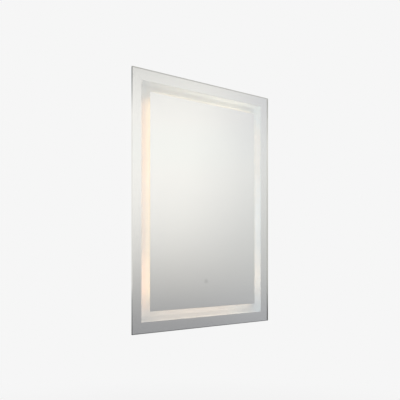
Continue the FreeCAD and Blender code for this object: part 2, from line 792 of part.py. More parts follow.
def supply_route():
    return route((DRIVER_RIGHT, SUPPLY_Y, BLOCK_Z), (f"{BOX_X} - block_width / 2", SUPPLY_Y, BLOCK_Z))


def strip_route():
    """From the driver's left end to the back of the left strip."""
    step = f"({DRIVER_LEFT} + {RAIL_X}) / 2"
    return route((DRIVER_LEFT, DRIVER_MIDDLE, HIGH_LEAD_Z), (f"{step} + driver_ear", DRIVER_MIDDLE, HIGH_LEAD_Z),
                 (f"{step} - driver_ear", LIGHTS, HIGH_LEAD_Z), (RAIL_X, LIGHTS, HIGH_LEAD_Z))


def sensor_route():
    """From the switch, along the back of the glass, and up to the driver's left end."""
    return route((SENSOR_LEFT, SENSOR_Y, TOUCH_Z), (SENSOR_RUN_X, SENSOR_Y, TOUCH_Z),
                 (SENSOR_RUN_X, SENSOR_Y, SENSOR_TOP_Z),
                 (SENSOR_RUN_X, DRIVER_MIDDLE, LOW_LEAD_Z), (DRIVER_LEFT, DRIVER_MIDDLE, LOW_LEAD_Z))


def demister_route():
    """From the back of the heating pad to the driver's top."""
    x = f"({DRIVER_LEFT} + driver_ear)"
    return route((f"{x} - driver_height", f"{FILM_BACK} + pad_thick", f"{DRIVER_Z} + 2 * driver_height"),
                 (f"{x} - driver_height", DRIVER_MIDDLE, f"{DRIVER_Z} + 2 * driver_height"),
                 (x, DRIVER_MIDDLE, f"{DRIVER_Z} + 1.5 * driver_height"),
                 (x, DRIVER_MIDDLE, f"{DRIVER_Z} + driver_height / 2"))


def make_clips():
    """Saddles that hold the switch's lead against the back of the glass."""
    clips = []
    for index in range(CLIP_COUNT):
        run = span(spread(CLIP_START, CLIP_END, index, CLIP_COUNT), "clip_length")
        block = box(span(SENSOR_RUN_X, "(2 * lead_radius + 2 * clip_wall)"),
                    (FILM_BACK, f"{SENSOR_Y} + lead_radius + clip_wall"), run)
        clips.append(cut(block, rod("Z", "lead_radius", SENSOR_RUN_X, SENSOR_Y, run)))
    node(group(clips), "lead_clips")


def strip_lead_hole():
    """Through the left rail's web, behind the strip."""
    return rod("X", "lead_radius + lead_hole_clear", (RAIL_X, f"{RAIL_X} + sheet_thick"), LIGHTS, HIGH_LEAD_Z)


# ---------------------------------------------------------------- build, test and write

def build():
    screw_places = back_screw_places()
    rivets = rivet_places()
    driver_places = driver_screw_places()
    make_glass()
    make_layers()
    make_frame(screw_places)
    corner_keys("case_inset", "frame_corner_keys")
    make_back(screw_places, rivets, driver_places)
    make_rails({"left": [strip_lead_hole()]})
    corner_keys("rail_inset", "rail_corner_keys")
    make_strips()
    make_driver(driver_places)
    make_demister()
    make_touch_switch()
    make_terminal_box()
    make_terminals()
    make_cord_clamp()
    make_lid()
    make_bracket()
    make_hanger(rivets)
    make_small_pieces()
    make_clips()
    routes = [(supply_route(), "supply_lead_radius", "supply_lead"), (strip_route(), "lead_radius", "strip_lead"),
              (sensor_route(), "lead_radius", "sensor_lead"), (demister_route(), "lead_radius", "demister_lead")]
    doc.recompute()
    for points, radius, name in routes:
        lead(points, value(radius), name)
    doc.recompute()


def check():
    for thing in doc.Objects:
        if "Invalid" in thing.State or "Error" in thing.State:
            raise RuntimeError(f"{thing.Label} is {thing.State}")
    for piece in nodes:
        if piece.Shape.isNull() or not piece.Shape.isValid() or not piece.Shape.Solids:
            raise RuntimeError(f"{piece.Label} has no sound shape")


def write():
    os.makedirs("parts", exist_ok=True)
    for piece in nodes:
        piece.Shape.exportStep(f"parts/{piece.Label}.step")


build()
check()
write()
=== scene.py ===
"""The looks of a lighted mirror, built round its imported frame. Everything is in metres.

+X is to the right of a person who faces the mirror, +Y goes into the wall and +Z is up.
"""
import json
import math
import random

import bmesh
import bpy
from mathutils import Matrix, Vector


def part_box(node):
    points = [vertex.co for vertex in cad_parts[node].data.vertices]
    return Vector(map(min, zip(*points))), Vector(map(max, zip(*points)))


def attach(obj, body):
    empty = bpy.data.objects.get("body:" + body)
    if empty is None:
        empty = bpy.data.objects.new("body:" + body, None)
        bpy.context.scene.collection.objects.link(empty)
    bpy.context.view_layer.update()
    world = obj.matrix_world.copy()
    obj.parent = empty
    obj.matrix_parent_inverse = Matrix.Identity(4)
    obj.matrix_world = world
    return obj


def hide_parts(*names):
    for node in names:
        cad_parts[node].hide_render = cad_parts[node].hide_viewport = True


MM = 0.001
WELD = 0.002 * MM           # points of a mesh that are closer than this are one
SHARP = math.radians(38)    # edges that turn by more than this stay crisp

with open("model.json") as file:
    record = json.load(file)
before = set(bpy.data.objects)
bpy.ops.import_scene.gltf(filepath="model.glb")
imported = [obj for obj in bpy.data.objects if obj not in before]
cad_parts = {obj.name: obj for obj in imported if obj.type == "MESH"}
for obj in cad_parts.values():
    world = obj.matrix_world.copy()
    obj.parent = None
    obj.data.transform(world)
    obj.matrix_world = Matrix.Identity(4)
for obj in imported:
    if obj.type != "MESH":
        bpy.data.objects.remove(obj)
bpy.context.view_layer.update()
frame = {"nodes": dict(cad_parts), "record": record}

GLASS_LOW, GLASS_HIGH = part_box("mirror_glass")
BAND_LOW, BAND_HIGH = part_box("frosted_band")
CENTRE_LOW, CENTRE_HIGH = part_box("silver_centre")
BORDER_LOW, BORDER_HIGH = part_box("silver_border")

BODIES = {node: body for body, nodes in frame["record"]["behaviour"]["bodies"].items() for node in nodes}

LAYER_GAP = 0.05 * MM       # keeps the printed layers clear of the glass's own back face


# -------------------- node helpers

class Nodes:
    """A tree of shader nodes under construction."""

    def __init__(self, tree):
        self.tree = tree

    def add(self, kind, **settings):
        node = self.tree.nodes.new(kind)
        for name, value in settings.items():
            setattr(node, name, value)
        return node

    def link(self, source, target):
        self.tree.links.new(source, target)

    def between(self, value, low=0, high=1, run=(0, 1), kind="LINEAR"):
        """A value that runs over one range, spread over another."""
        spread = self.add("ShaderNodeMapRange", interpolation_type=kind)
        for name, number in zip(("From Min", "From Max", "To Min", "To Max"), (*run, low, high)):
            spread.inputs[name].default_value = number
        self.link(value, spread.inputs["Value"])
        return spread.outputs["Result"]

    def ramp(self, value, stops, kind="LINEAR"):
        """Colours along a value from 0 to 1: stops are (place, colour) pairs."""
        ramp = self.add("ShaderNodeValToRGB")
        ramp.color_ramp.interpolation = kind
        elements = ramp.color_ramp.elements
        while len(elements) < len(stops):
            elements.new(0.5)
        for element, (place, colour) in zip(elements, stops):
            element.position = place
            element.color = (*colour, 1)
        self.link(value, ramp.inputs["Fac"])
        return ramp.outputs["Color"]

    def over(self, value, stops, kind="LINEAR"):
        """Colours along a value that runs from the first stop's place to the last one's."""
        low, high = stops[0][0], stops[-1][0]
        places = [((at - low) / (high - low), colour) for at, colour in stops]
        return self.ramp(self.between(value, run=(low, high)), places, kind)


class Look(Nodes):
    """A material under construction: a Principled shader and the nodes that feed it."""

    def __init__(self, name, **sockets):
        self.material = bpy.data.materials.new(name)
        self.material.use_nodes = True
        super().__init__(self.material.node_tree)
        self.shader = self.tree.nodes["Principled BSDF"]
        self.place = self.add("ShaderNodeTexCoord").outputs["Object"]
        for socket, value in sockets.items():
            self.shader.inputs[socket.replace("_", " ")].default_value = value

    def stretched(self, x, y, z):
        """The object's own coordinates, scaled apart along each axis."""
        mapping = self.add("ShaderNodeMapping")
        mapping.inputs["Scale"].default_value = (x, y, z)
        self.link(self.place, mapping.inputs["Vector"])
        return mapping.outputs["Vector"]

    def noise(self, scale, detail=3, vector=None, roughness=0.5):
        noise = self.add("ShaderNodeTexNoise")
        noise.inputs["Scale"].default_value = scale
        noise.inputs["Detail"].default_value = detail
        noise.inputs["Roughness"].default_value = roughness
        self.link(vector or self.place, noise.inputs["Vector"])
        return noise.outputs["Fac"]

    def cells(self, scale, feature="F1"):
        cells = self.add("ShaderNodeTexVoronoi", feature=feature)
        cells.inputs["Scale"].default_value = scale
        self.link(self.place, cells.inputs["Vector"])
        return cells.outputs["Distance"]

    def along(self, letter, stops, folded=False):
        """Colours at places along an axis, in metres, or at distances either side of its middle."""
        parts = self.add("ShaderNodeSeparateXYZ")
        self.link(self.place, parts.inputs[0])
        value = parts.outputs[letter]
        if folded:
            distance = self.add("ShaderNodeMath", operation="ABSOLUTE")
            self.link(value, distance.inputs[0])
            value = distance.outputs[0]
        return self.over(value, stops)

    def mixed(self, first, second, how):
        """Two colours multiplied or added."""
        mix = self.add("ShaderNodeMix", data_type="RGBA", blend_type=how)
        mix.inputs["Factor"].default_value = 1
        self.link(first, mix.inputs["A"])
        self.link(second, mix.inputs["B"])
        return mix.outputs["Result"]

    def glow(self, light, strength=1.0):
        self.link(light, self.shader.inputs["Emission Color"])
        self.shader.inputs["Emission Strength"].default_value = strength
        return self

    def colour(self, output):
        self.link(output, self.shader.inputs["Base Color"])
        return self

    def rough(self, output):
        self.link(output, self.shader.inputs["Roughness"])
        return self

    def bump(self, height, depth, strength):
        bump = self.add("ShaderNodeBump")
        bump.inputs["Distance"].default_value = depth
        bump.inputs["Strength"].default_value = strength
        self.link(height, bump.inputs["Height"])
        self.link(bump.outputs["Normal"], self.shader.inputs["Normal"])
        return self


# -------------------- materials

NO_LIGHT = (0, 0, 0)
FULL_LIGHT = (1, 1, 1)


def tinted(levels, tint):
    """One colour of light at different strengths along an axis."""
    return [(at, tuple(level * part for part in tint)) for at, level in levels]


def clear_glass():
    """Float glass: clear through its face, greener through its length."""
    look = Look("clear_glass", Base_Color=(1, 1, 1, 1), Transmission_Weight=1.0, Roughness=0.0, IOR=1.52)
    green = look.add("ShaderNodeVolumeAbsorption")
    green.inputs["Color"].default_value = (0.82, 0.95, 0.88, 1)
    green.inputs["Density"].default_value = 14
    output = look.tree.nodes["Material Output"]
    look.link(green.outputs["Volume"], output.inputs["Volume"])
    look.bump(look.noise(6, detail=1), 0.02 * MM, 0.2)
    return look.material


# The lamps' light painted into the glass's ground edges as a glow, and the painted shade that darkens the
# edges towards their ends, from bottom to top.
PAINTED_PIPING_TINT = (1, 0.97, 0.90)
LEFT_PAINTED_PIPING = tinted([(-0.50, 0), (-0.469, 0.08), (-0.43, 0.38), (-0.20, 0.54), (0.02, 0.51), (0.076, 0.13),
                     (0.11, 0), (0.1385, 0), (0.1391, 0.33)], PAINTED_PIPING_TINT)
RIGHT_PAINTED_PIPING = tinted([(-0.53, 0.03), (-0.42, 0.30), (-0.18, 0.41), (-0.02, 0.56), (0.119, 0.28),
                      (0.1385, 0.28), (0.1391, 0.37)], PAINTED_PIPING_TINT)
EDGE_PAINTED_SHADE = tinted([(-0.55, 0.45), (-0.50, 0.95), (0.09, 1), (0.12, 0.85)], FULL_LIGHT)


def ground_edge(name, painted_piping):
    """A ground edge of the glass, darker towards its ends with painted shade. Between its corners a painted
    glow stands for a little of the lamps' light that it pipes.
    """
    look = Look(name, Specular_IOR_Level=0.3)
    grain = look.ramp(look.noise(500, detail=3), [(0.3, (0.26, 0.275, 0.27)), (0.7, (0.31, 0.325, 0.32))])
    # painted shade: the grey grain is darkened towards the edge's bottom and top ends
    look.colour(look.mixed(grain, look.along("Z", EDGE_PAINTED_SHADE), "MULTIPLY"))
    look.rough(look.between(look.noise(1500), 0.4, 0.6))
    # painted light: the edge glows where the lamps' light would pipe along it
    look.glow(look.along("Z", painted_piping))
    return look.material


def silver(name, dark, light, cloud=3, grain=40, detail=4, rough=(0.0, 0.012)):
    """Silver on the back of the glass, with a faint cloud in its colour and in its polish."""
    look = Look(name, Metallic=1.0)
    look.colour(look.ramp(look.noise(cloud), [(0.3, dark), (0.7, light)]))
    look.rough(look.between(look.noise(grain, detail=detail), *rough))
    return look.material


def backing_paint():
    """The grey paint and clear safety film on the back of the silver."""
    look = Look("backing_paint", Coat_Weight=0.3, Coat_Roughness=0.2)
    cloud = look.noise(25, detail=5)
    look.colour(look.ramp(cloud, [(0.35, (0.30, 0.33, 0.33)), (0.65, (0.36, 0.39, 0.385))]))
    look.rough(look.between(look.noise(90), 0.35, 0.55))
    look.bump(look.noise(160, detail=4), 0.05 * MM, 0.5)
    return look.material


def frost():
    """Sand-blasted glass: a milky skin that part of the lamp chamber shows through."""
    look = Look("frost", Alpha=0.5, Specular_IOR_Level=0.2)
    skin = look.noise(900, detail=4)
    look.colour(look.ramp(skin, [(0.3, (0.90, 0.905, 0.895)), (0.7, (0.95, 0.95, 0.94))]))
    look.rough(look.between(look.noise(1500), 0.55, 0.8))
    look.bump(look.noise(2600, detail=2), 0.02 * MM, 0.6)
    return look.material


def powder_look(name, dark, light, grain):
    """White powder coat with its fine orange-peel surface."""
    look = Look(name)
    look.colour(look.ramp(look.noise(7, detail=4), [(0.3, dark), (0.7, light)]))
    look.rough(look.between(look.noise(grain, detail=2), 0.38, 0.58))
    look.bump(look.noise(grain), 0.05 * MM, 0.35)
    return look


# The coats' two shades, and the scale of their grain.
FRAME_WHITE = (0.80, 0.81, 0.82), (0.86, 0.87, 0.875)
# the side walls' coat is tinted blue, painted light that offsets the covers' warm light on them
SIDE_COOLED_WHITE = (0.63, 0.74, 0.86), (0.68, 0.79, 0.90)
PLATE_WHITE = (0.76, 0.765, 0.765), (0.82, 0.82, 0.815)
RAIL_WHITE = (0.90, 0.82, 0.70), (0.93, 0.86, 0.76)
COAT_GRAIN, PLATE_GRAIN = 900, 700


# How strongly the side strips' light is painted on the plate and the rails beside them, up the height of the
# mirror.
STRIP_THROW = [(-0.53, 0.12), (-0.507, 0.28), (-0.475, 0.50), (-0.452, 0.87), (-0.38, 0.72), (-0.33, 0.37),
               (-0.20, 0.50), (-0.04, 0.56), (0.05, 0.48), (0.066, 0.25), (0.075, 0)]

# The painted light that reaches the plate and the frame's walls beyond the top and bottom strips, from left
# to right.
TOP_PLATE_LIGHT = tinted([(-0.19, 0.12), (-0.126, 0.41), (-0.075, 0.51), (0.035, 0.60), (0.094, 0.82),
                          (0.155, 0.95), (0.20, 0.45)], (1, 0.98, 0.78))
TOP_WALL_LIGHT = tinted([(-0.19, 0.11), (-0.126, 0.23), (-0.02, 0.35), (0.12, 0.41), (0.20, 0.34)],
                        (0.82, 0.92, 0.94))
BOTTOM_PLATE_LIGHT = (tinted([(-0.19, 0.14), (-0.126, 0.36), (-0.02, 0.45), (0.094, 0.39)], (1, 0.77, 0.66))
                      + tinted([(0.155, 0.48), (0.20, 0.17)], (0.90, 0.86, 0.82)))
BOTTOM_WALL_LIGHT = (tinted([(-0.19, 0.35), (-0.02, 0.57), (0.094, 0.60)], (1, 0.85, 0.71))
                     + tinted([(0.155, 0.60), (0.20, 0.32)], (0.92, 0.93, 0.86)))

# The painted light on the frame's side walls: cool beside the strips, to offset the warm light that the
# covers throw on them, and plain above.
SIDE_WALL_LIGHT = (tinted([(-0.53, 0.25), (-0.45, 0.45), (-0.194, 0.64), (-0.04, 0.46), (0.055, 0.45)],
                          (0.52, 0.88, 1.16))
                   + tinted([(0.095, 0.48), (0.11, 0.46)], (0.92, 1, 0.96)))


STRIP_REACH = 14 * MM       # how far a side strip's light spreads over the plate behind it
END_FADE = 2 * MM           # half of the soft start of the end strips' light


def plate_inside():
    """The plate's inner face: white, with the light of the strips that run along its edge painted on it as a
    glow.
    """
    look = powder_look("plate_inside", *PLATE_WHITE, PLATE_GRAIN)
    edge = -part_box("led_cover_left")[1].x
    beside = look.along("X", [(edge - STRIP_REACH, NO_LIGHT), (edge, FULL_LIGHT), (GLASS_HIGH.x, FULL_LIGHT)],
                        folded=True)
    sides = look.mixed(beside, look.along("Z", tinted(STRIP_THROW, (1, 0.52, 0.27))), "MULTIPLY")
    top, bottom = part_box("led_cover_top")[0].z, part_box("led_cover_bottom")[1].z
    above = look.along("Z", [(top - END_FADE, NO_LIGHT), (top + END_FADE, FULL_LIGHT)])
    below = look.along("Z", [(bottom - END_FADE, FULL_LIGHT), (bottom + END_FADE, NO_LIGHT)])
    ends = look.mixed(look.mixed(above, look.along("X", TOP_PLATE_LIGHT), "MULTIPLY"),
                      look.mixed(below, look.along("X", BOTTOM_PLATE_LIGHT), "MULTIPLY"), "ADD")
    # painted light: the strips' glow on the plate beside and beyond them
    look.glow(look.mixed(sides, ends, "ADD"))
    return look.material


def inner_wall(name, letter, light, whites):
    """One of the frame's inner walls: its coat, with the soft light of the chamber painted on it as a glow.
    """
    look = powder_look(name, *whites, COAT_GRAIN)
    # painted light: the chamber's glow on the wall
    look.glow(look.along(letter, light))
    return look.material


def rail_side():
    """The side strips' rails, with the warm light of the covers in front of them painted on as a glow."""
    look = powder_look("rail_side", *RAIL_WHITE, COAT_GRAIN)
    # painted light: the covers' warm glow on the rails
    look.glow(look.along("Z", tinted(STRIP_THROW, (1, 0.42, 0.15))))
    return look.material


# The side covers' light: down from the lip under the glass, and up the height of the mirror.
OPAL = (0.95, 0.91, 0.82, 1)
COVER_DEPTH = [(0, (1.12, 0.80, 0.43)), (2 * MM, (1.05, 0.68, 0.27)), (13 * MM, (1.00, 0.64, 0.23))]
COVER_SPAN = tinted([(-0.486, 0.38), (-0.467, 0.60), (-0.453, 0.98), (-0.40, 1.03), (-0.33, 0.85),
                     (-0.20, 0.98), (-0.15, 1.08), (0.045, 1.08), (0.066, 0.66)], (1, 0.94, 0.80))


def opal_side():
    """The side strips' opal covers: brightest on the lip under the glass, warmer down the side."""
    look = Look("opal_side", Base_Color=OPAL, Roughness=0.45)
    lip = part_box("led_cover_left")[0].y
    depth = look.along("Y", [(lip + below, light) for below, light in COVER_DEPTH])
    look.glow(look.mixed(depth, look.along("Z", COVER_SPAN), "MULTIPLY"))
    look.bump(look.noise(1200), 0.01 * MM, 0.3)
    return look.material


def opal_end(name, dim, bright):
    """The top and bottom strips' opal covers, which run a little dimmer."""
    look = Look(name, Base_Color=OPAL, Roughness=0.45)
    look.glow(look.ramp(look.noise(55, detail=1), [(0.3, dim), (0.7, bright)]))
    look.bump(look.noise(1200), 0.01 * MM, 0.3)
    return look.material


def zinc():
    """Bright zinc plate on rolled steel: a faint grain, a mottle and a fine spangle."""
    look = Look("zinc", Metallic=0.9)
    mottle = look.noise(60, detail=6, roughness=0.65)
    cloud = look.ramp(mottle, [(0.3, (0.55, 0.56, 0.58)), (0.5, (0.62, 0.63, 0.64)),
                               (0.7, (0.67, 0.67, 0.665))])
    spangle = look.ramp(look.cells(450), [(0.1, (0.90, 0.905, 0.915)), (0.6, (1.0, 1.0, 1.0))])
    look.colour(look.mixed(cloud, spangle, "MULTIPLY"))
    grain = look.noise(300, detail=2, vector=look.stretched(0.08, 1, 1))
    look.rough(look.between(grain, 0.22, 0.5))
    look.bump(grain, 0.02 * MM, 0.5)
    return look.material


def moulded(name, dark, light, rough=(0.45, 0.62)):
    """Moulded plastic with a spark-eroded texture."""
    look = Look(name)
    look.colour(look.ramp(look.noise(30, detail=3), [(0.3, dark), (0.7, light)]))
    look.rough(look.between(look.noise(700), *rough))
    look.bump(look.noise(2200, detail=2), 0.03 * MM, 0.5)
    return look.material


def rubber():
    look = Look("rubber", Specular_IOR_Level=0.3)
    bloom = look.noise(250, detail=5)
    look.colour(look.ramp(bloom, [(0.3, (0.018, 0.018, 0.019)), (0.75, (0.035, 0.035, 0.036))]))
    look.rough(look.between(look.noise(500), 0.7, 0.9))
    look.bump(look.noise(1800, detail=3), 0.04 * MM, 0.6)
    return look.material


def foam():
    look = Look("foam", Specular_IOR_Level=0.2)
    look.colour(look.ramp(look.cells(900), [(0.1, (0.012, 0.012, 0.012)), (0.6, (0.05, 0.05, 0.05))]))
    look.rough(look.between(look.noise(700), 0.85, 0.98))
    look.bump(look.cells(1200), 0.1 * MM, 0.7)
    return look.material


def brushed_foil():
    look = Look("brushed_foil", Metallic=1.0)
    lines = look.noise(1400, detail=3, vector=look.stretched(0.02, 1, 1))
    look.colour(look.ramp(lines, [(0.3, (0.58, 0.585, 0.59)), (0.7, (0.76, 0.765, 0.77))]))
    look.rough(look.between(lines, 0.25, 0.45))
    look.bump(lines, 0.01 * MM, 0.5)
    return look.material


def metal(name, dark, light, rough=(0.2, 0.4)):
    look = Look(name, Metallic=1.0)
    look.colour(look.ramp(look.noise(180, detail=4), [(0.3, dark), (0.7, light)]))
    look.rough(look.between(look.noise(320), *rough))
    look.bump(look.noise(900), 0.01 * MM, 0.4)
    return look.material


LAMP_GLOW = 1.25


def lamp_chip():
    look = Look("lamp_chip", Roughness=0.25)
    phosphor = look.ramp(look.cells(420), [(0.2, (1.0, 0.83, 0.35)), (0.6, (1.0, 0.93, 0.62))])
    look.colour(phosphor).glow(phosphor, LAMP_GLOW)
    return look.material


def circuit_board():
    look = Look("circuit_board", Coat_Weight=0.6)
    look.colour(look.ramp(look.cells(260, "DISTANCE_TO_EDGE"),
                          [(0.02, (0.10, 0.38, 0.19)), (0.08, (0.03, 0.2, 0.1))]))
    look.rough(look.between(look.noise(300), 0.3, 0.45))
    return look.material


def heating_film():
    """A printed heating track under a clear film."""
    look = Look("heating_film", Coat_Weight=0.5)
    track = look.add("ShaderNodeTexWave", wave_type="BANDS", bands_direction="Z")
    track.inputs["Scale"].default_value = 30
    look.link(look.place, track.inputs["Vector"])
    look.colour(look.ramp(track.outputs["Fac"], [(0.45, (0.20, 0.2, 0.2)), (0.55, (0.78, 0.68, 0.46))]))
    look.rough(look.between(look.noise(80), 0.35, 0.5))
    return look.material


MATERIALS = {
    "clear_glass": clear_glass(),
    "ground_edge_left": ground_edge("ground_edge_left", LEFT_PAINTED_PIPING),
    "ground_edge_right": ground_edge("ground_edge_right", RIGHT_PAINTED_PIPING),
    "silvering": silver("silvering", (0.925, 0.93, 0.915), (0.94, 0.945, 0.925)),
    # outside the band, where tape and paint behind it dull it a little
    "border_silvering": silver("border_silvering", (0.893, 0.898, 0.883), (0.908, 0.913, 0.893)),
    # over the touch switch, where it is thinner and a shade darker
    "touch_silvering": silver("touch_silvering", (0.848, 0.850, 0.832), (0.872, 0.874, 0.856),
                              cloud=200, grain=400, detail=3, rough=(0.01, 0.05)),
    "backing_paint": backing_paint(),
    "frost": frost(),
    "frame_coat": powder_look("frame_coat", *FRAME_WHITE, COAT_GRAIN).material,
    "rail_coat": powder_look("rail_coat", *RAIL_WHITE, COAT_GRAIN).material,
    "back_coat": powder_look("back_coat", *PLATE_WHITE, PLATE_GRAIN).material,
    "plate_inside": plate_inside(),
    "side_inside": inner_wall("side_inside", "Z", SIDE_WALL_LIGHT, SIDE_COOLED_WHITE),
    "top_inside": inner_wall("top_inside", "X", TOP_WALL_LIGHT, FRAME_WHITE),
    "bottom_inside": inner_wall("bottom_inside", "X", BOTTOM_WALL_LIGHT, FRAME_WHITE),
    "rail_side": rail_side(),
    "opal_side": opal_side(),
    "opal_top": opal_end("opal_top", (0.78, 0.60, 0.40), (0.86, 0.66, 0.45)),
    "opal_bottom": opal_end("opal_bottom", (0.56, 0.43, 0.31), (0.64, 0.48, 0.35)),
    "zinc": zinc(),
    "screw_zinc": metal("screw_zinc", (0.55, 0.55, 0.55), (0.72, 0.72, 0.71)),
    "rivet_metal": metal("rivet_metal", (0.62, 0.63, 0.64), (0.76, 0.77, 0.78)),
    "brass": metal("brass", (0.62, 0.44, 0.18), (0.80, 0.62, 0.30)),
    "driver_plastic": moulded("driver_plastic", (0.74, 0.74, 0.72), (0.82, 0.82, 0.80)),
    "grey_plastic": moulded("grey_plastic", (0.21, 0.215, 0.22), (0.27, 0.275, 0.28)),
    "block_plastic": moulded("block_plastic", (0.80, 0.80, 0.77), (0.88, 0.88, 0.85)),
    "strip_board": moulded("strip_board", (0.86, 0.86, 0.83), (0.93, 0.93, 0.90), rough=(0.3, 0.4)),
    "lead_sheath": moulded("lead_sheath", (0.80, 0.80, 0.80), (0.90, 0.90, 0.89), rough=(0.35, 0.5)),
    "lamp_chip": lamp_chip(),
    "circuit_board": circuit_board(),
    "heating_film": heating_film(),
    "rubber": rubber(),
    "foam": foam(),
    "brushed_foil": brushed_foil(),
}

NODE_LOOKS = {
    "clear_glass": ["mirror_glass"],
    "foam": ["frame_tape", "rail_tape"],
    "frame_coat": ["frame_left", "frame_right", "frame_top", "frame_bottom"],
    "zinc": ["frame_corner_keys", "rail_corner_keys", "wall_bracket", "hanger_rail"],
    "back_coat": ["back_plate"],
    "rail_side": ["led_rail_left", "led_rail_right"],
    "rail_coat": ["led_rail_top", "led_rail_bottom"],
    "strip_board": ["led_strip_left", "led_strip_right", "led_strip_top", "led_strip_bottom"],
    "lamp_chip": ["led_chips"],
    "opal_side": ["led_cover_left", "led_cover_right"],
    "opal_top": ["led_cover_top"],
    "opal_bottom": ["led_cover_bottom"],
    "driver_plastic": ["led_driver", "touch_sensor_case"],
    "circuit_board": ["touch_sensor_board"],
    "heating_film": ["demister_pad"],
    "grey_plastic": ["terminal_box", "terminal_lid", "cord_clamp"],
    "block_plastic": ["terminal_block", "lead_clips"],
    "brass": ["terminal_screws"],
    "screw_zinc": ["lid_hinge_pin", "clamp_screws", "back_plate_screws", "driver_screws"],
    "rivet_metal": ["hanger_rivets"],
    "lead_sheath": ["supply_lead", "strip_lead", "sensor_lead", "demister_lead"],
    "rubber": ["wall_bumpers", "lid_grommet"],
    "brushed_foil": ["bare_label"],
}

# node: the finish of the faces that look into the lamp chamber, which carries the chamber's painted light,
# and the way these look
INNER_WALLS = {"frame_left": ("side_inside", Vector((1, 0, 0))),
               "frame_right": ("side_inside", Vector((-1, 0, 0))),
               "frame_top": ("top_inside", Vector((0, 0, -1))),
               "frame_bottom": ("bottom_inside", Vector((0, 0, 1))),
               "back_plate": ("plate_inside", Vector((0, -1, 0)))}
SAME_WAY = 0.9              # cosine above which a face counts as looking a given way


def dress_nodes():
    for look, names in NODE_LOOKS.items():
        for name in names:
            mesh = frame["nodes"][name].data
            mesh.materials.clear()
            mesh.materials.append(MATERIALS[look])
    for name, (look, inwards) in INNER_WALLS.items():
        mesh = frame["nodes"][name].data
        mesh.materials.append(MATERIALS[look])
        for face in mesh.polygons:
            if face.normal.dot(inwards) > SAME_WAY:
                face.material_index = len(mesh.materials) - 1


# -------------------- mesh helpers

def piece(name, mesh, body, look, stands_for=()):
    """Put a mesh on show as part of the object, on a body, with a finish."""
    made = bpy.data.objects.new(name, mesh)
    bpy.context.scene.collection.objects.link(made)
    if look:
        mesh.materials.append(MATERIALS[look])
    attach(made, body)
    if stands_for:
        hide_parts(*stands_for)
    return made


def stand_in(name, mesh, look, node):
    """A finer piece in the place of a CAD node, on the same body and with the same finish."""
    made = piece(name, mesh, BODIES[node], look, [node])
    made.data.name = name
    return made


def flat_sheet(name, loops, front, back):
    """A thin sheet in the plane of the glass, from closed loops of (x, z) points."""
    curve = bpy.data.curves.new(name, "CURVE")
    curve.dimensions = "2D"
    curve.fill_mode = "BOTH"
    curve.extrude = (back - front) / 2
    for loop in loops:
        spline = curve.splines.new("POLY")
        spline.points.add(len(loop) - 1)
        for point, (x, z) in zip(spline.points, loop):
            point.co = (x, z, 0, 1)
        spline.use_cyclic_u = True
    holder = bpy.data.objects.new(name, curve)
    mesh = bpy.data.meshes.new_from_object(holder)
    bpy.data.objects.remove(holder)
    mesh.transform(Matrix.Translation((0, (front + back) / 2, 0)) @ Matrix.Rotation(math.pi / 2, 4, "X"))
    mesh.name = name
    return mesh


def rectangle(low, high):
    return [(low.x, low.z), (high.x, low.z), (high.x, high.z), (low.x, high.z)]


def circle(x, z, radius, points=64):
    turn = math.tau / points
    return [(x + radius * math.cos(turn * i), z + radius * math.sin(turn * i)) for i in range(points)]


def paint_back(mesh, look):
    """Give a second finish to every face that doesn't look out through the glass."""
    mesh.materials.append(MATERIALS[look])
    for face in mesh.polygons:
        face.material_index = 0 if face.normal.y < -SAME_WAY else 1


def solids_of(node):
    """The boxes of a node's separate solids."""
    work = bmesh.new()
    work.from_mesh(frame["nodes"][node].data)
    bmesh.ops.remove_doubles(work, verts=work.verts, dist=WELD)
    left = set(work.verts)
    boxes = []
    while left:
        todo = [left.pop()]
        found = []
        while todo:
            vert = todo.pop()
            found.append(vert.co.copy())
            for edge in vert.link_edges:
                other = edge.other_vert(vert)
                if other in left:
                    left.remove(other)
                    todo.append(other)
        boxes.append((Vector(map(min, *found)), Vector(map(max, *found))))
    work.free()
    return sorted(boxes, key=lambda ends: tuple(ends[0]))


def round_solids(node):
    """Where each of a node's round solids is: x, z, radius, and its two ends along Y."""
    for low, high in solids_of(node):
        yield (low.x + high.x) / 2, (low.z + high.z) / 2, (high.x - low.x) / 2, low.y, high.y


def lathe(work, profile, x, z, steps=40):
    """Turn (radius, y) points about an axis along Y. A radius of 0 closes the surface there."""
    rings = []
    for radius, y in profile:
        if radius == 0:
            rings.append([work.verts.new((x, y, z))])
            continue
        rings.append([work.verts.new((px, y, pz)) for px, pz in circle(x, z, radius, steps)])
    for near, far in zip(rings, rings[1:]):
        for i in range(steps):
            corners = [near[i % len(near)], near[(i + 1) % steps % len(near)],
                       far[(i + 1) % steps % len(far)], far[i % len(far)]]
            corners = list(dict.fromkeys(corners))
            if len(corners) > 2:
                work.faces.new(corners)
    return rings


def finished(work, name):
    """The mesh of a bmesh, welded, with its faces turned outwards and its curves shaded smooth."""
    bmesh.ops.remove_doubles(work, verts=work.verts, dist=WELD / 4)
    bmesh.ops.recalc_face_normals(work, faces=work.faces)
    for face in work.faces:
        face.smooth = True
    mesh = bpy.data.meshes.new(name)
    work.to_mesh(mesh)
    work.free()
    mesh.set_sharp_from_angle(angle=SHARP)
    return mesh


def block(work, low, high):
    """A box between two corners."""
    for vert in bmesh.ops.create_cube(work, size=1)["verts"]:
        for i in range(3):
            vert.co[i] = low[i] if vert.co[i] < 0 else high[i]


FLAT = math.radians(0.5)    # faces that turn by less than this are one


